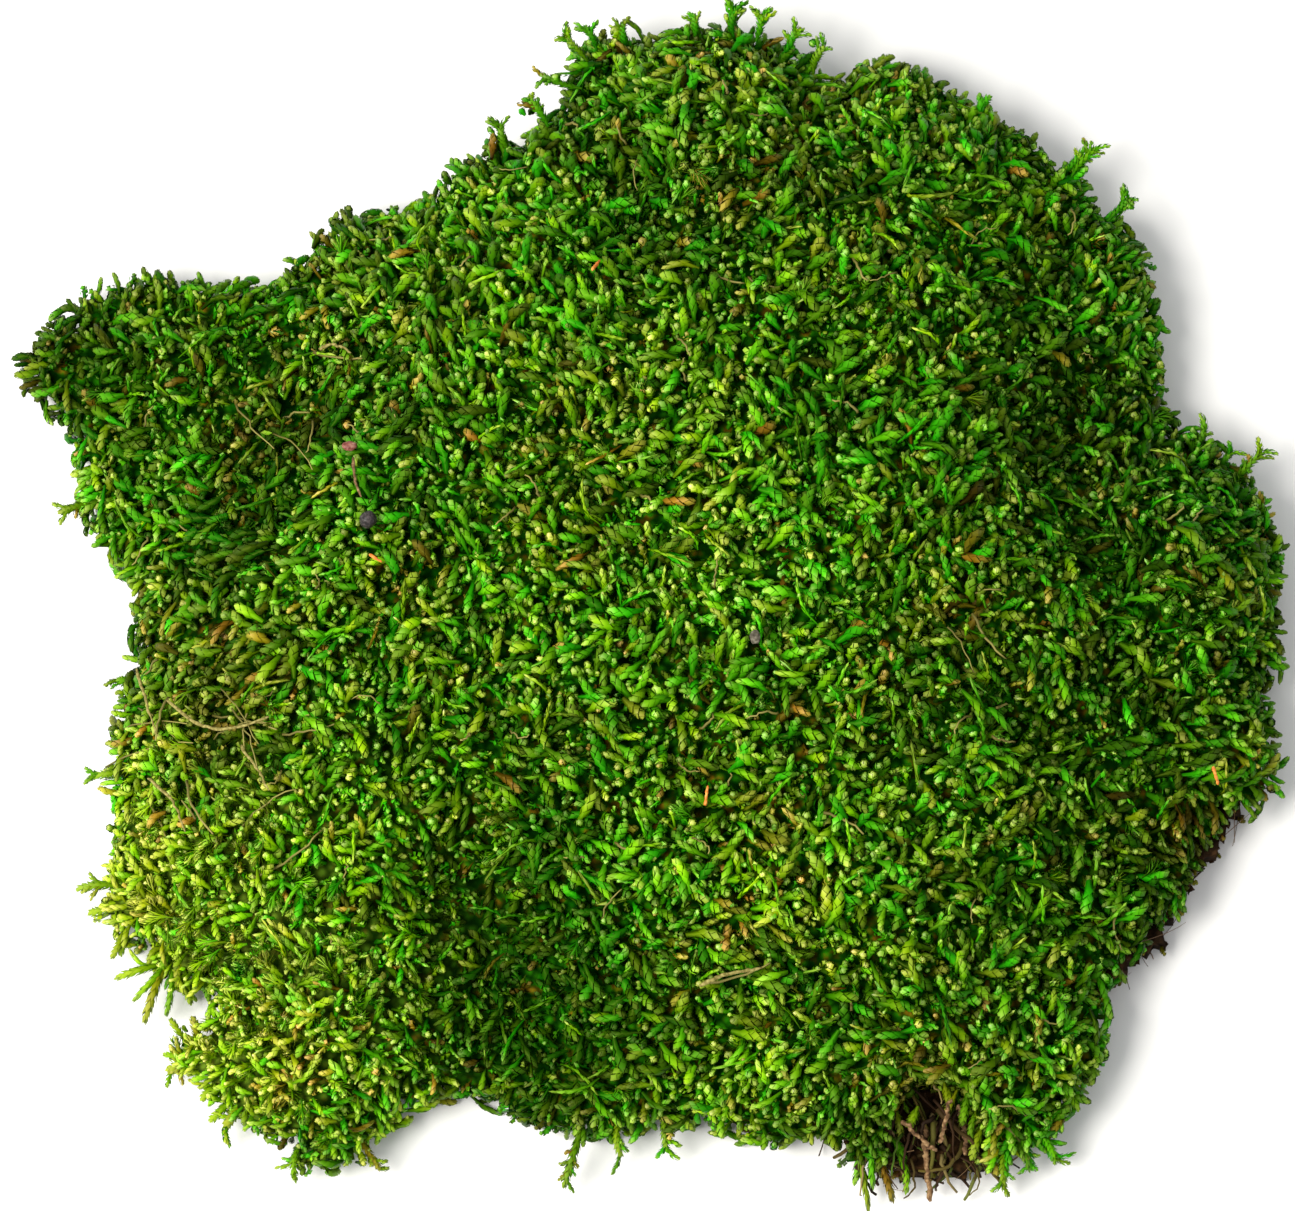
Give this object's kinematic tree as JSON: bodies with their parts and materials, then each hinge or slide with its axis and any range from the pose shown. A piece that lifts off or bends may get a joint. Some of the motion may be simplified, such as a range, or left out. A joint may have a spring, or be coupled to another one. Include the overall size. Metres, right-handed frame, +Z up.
{
  "type": "moss clump",
  "caption": "Low domed clump of plump-shooted sheet moss on a thin brown humus layer, cut flat underneath, with ragged rim sprigs and dry plant litter.",
  "frame": {"origin": "middle of the flat underside, at the centre of the bounding box seen from above", "axes": "+Z up, out of the flat underside; +X towards the rounded right lobe, away from the ear-shaped lobe; +Y towards the upper rim in the picture"},
  "size_m": [0.2003, 0.1944, 0.037],
  "materials": {
    "living_moss": "soft, slightly moist green leaf scales",
    "humus": "matte crumbly dead shoots, rhizoids and soil",
    "dead_root": "matte dry root",
    "dry_stem": "satin dry straw",
    "dead_needle": "satin dry needle",
    "seed": "satin seed coat",
    "bud_scale": "satin dry bud scale",
    "bark": "matte weathered bark"
  },
  "bodies": {
    "root": {"moss_cushion": "living_moss", "humus_layer": "humus", "root_strand_left": "dead_root", "root_strand_crossing": "dead_root", "root_strand_tan": "dead_root", "root_strand_hanging": "dead_root", "bud_scale_stalk": "dead_root", "straw_upper_left": "dry_stem", "straw_lower_middle": "dry_stem", "dry_stem_long": "dry_stem", "dry_stem_fork_a": "dry_stem", "dry_stem_fork_b": "dry_stem", "dry_stem_low": "dry_stem", "orange_needle_rim": "dead_needle", "orange_needle_middle": "dead_needle", "orange_needle_top": "dead_needle", "orange_needle_seed": "dead_needle", "dark_seed": "seed", "bud_scale": "bud_scale", "bark_flake": "bark"}
  },
  "joints": []
}
